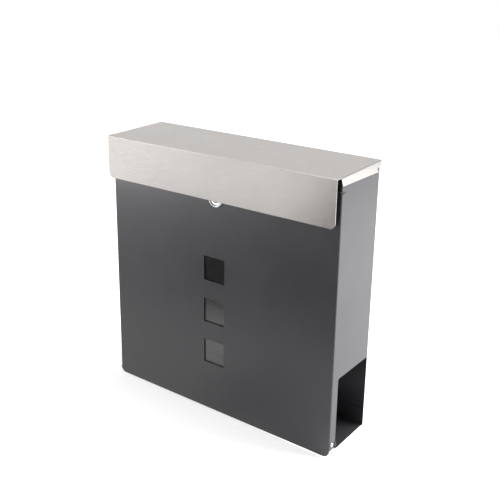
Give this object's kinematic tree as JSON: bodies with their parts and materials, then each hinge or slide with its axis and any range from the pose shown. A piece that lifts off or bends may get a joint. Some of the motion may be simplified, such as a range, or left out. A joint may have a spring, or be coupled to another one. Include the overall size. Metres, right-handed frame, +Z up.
{
  "type": "wall mounted mailbox",
  "caption": "Wall-mounted sheet-steel mailbox with a lift-up lid over the mail slot, a drop-down locking front door and an open-ended newspaper compartment below.",
  "frame": {"origin": "middle of the base's bounding rectangle, at the height of the base", "axes": "-Y out of the front door, +Z up, +X to the right of someone who faces the door"},
  "size_m": [0.374, 0.1075, 0.3745],
  "materials": {
    "powder_coat": "fine-textured anthracite powder coat",
    "stainless": "stainless steel brushed along the width",
    "chrome": "polished",
    "zinc": "bright zinc plate",
    "rubber": "matt",
    "nylon": "matt",
    "clear_acrylic": "clear and glossy"
  },
  "bodies": {
    "case": {"case_shell": "powder_coat", "newspaper_tray": "powder_coat", "mail_floor": "powder_coat", "front_rail": "powder_coat", "lid_pin_left": "zinc", "lid_washer_left": "nylon", "door_pin_left": "zinc", "door_spacer_left": "nylon", "lid_buffer_left": "rubber", "door_buffer_lower_left": "rubber", "door_buffer_upper_left": "rubber", "lid_pin_right": "zinc", "lid_washer_right": "nylon", "door_pin_right": "zinc", "door_spacer_right": "nylon", "lid_buffer_right": "rubber", "door_buffer_lower_right": "rubber", "door_buffer_upper_right": "rubber"},
    "lid": {"lid_cover": "stainless"},
    "door": {"door_panel": "powder_coat", "window_pane": "clear_acrylic", "lock_body": "chrome", "lock_nut": "zinc", "pane_clip_1": "zinc", "pane_clip_2": "zinc", "pane_clip_3": "zinc", "pane_clip_4": "zinc"},
    "lock": {"lock_plug": "chrome", "lock_cam": "zinc", "cam_screw": "zinc"}
  },
  "joints": [
    {"name": "lid_hinge", "type": "hinge", "parent": "case", "child": "lid", "pos_m": [0, 0.0493, 0.3634], "axis": [-1, 0, 0], "range_deg": [0, 90]},
    {"name": "door_hinge", "type": "hinge", "parent": "case", "child": "door", "pos_m": [0, -0.0372, 0.018], "axis": [1, 0, 0], "range_deg": [0, 90]},
    {"name": "lock_turn", "type": "hinge", "parent": "door", "child": "lock", "pos_m": [0, -0.0427, 0.31155], "axis": [0, 1, 0], "range_deg": [0, 90]}
  ]
}
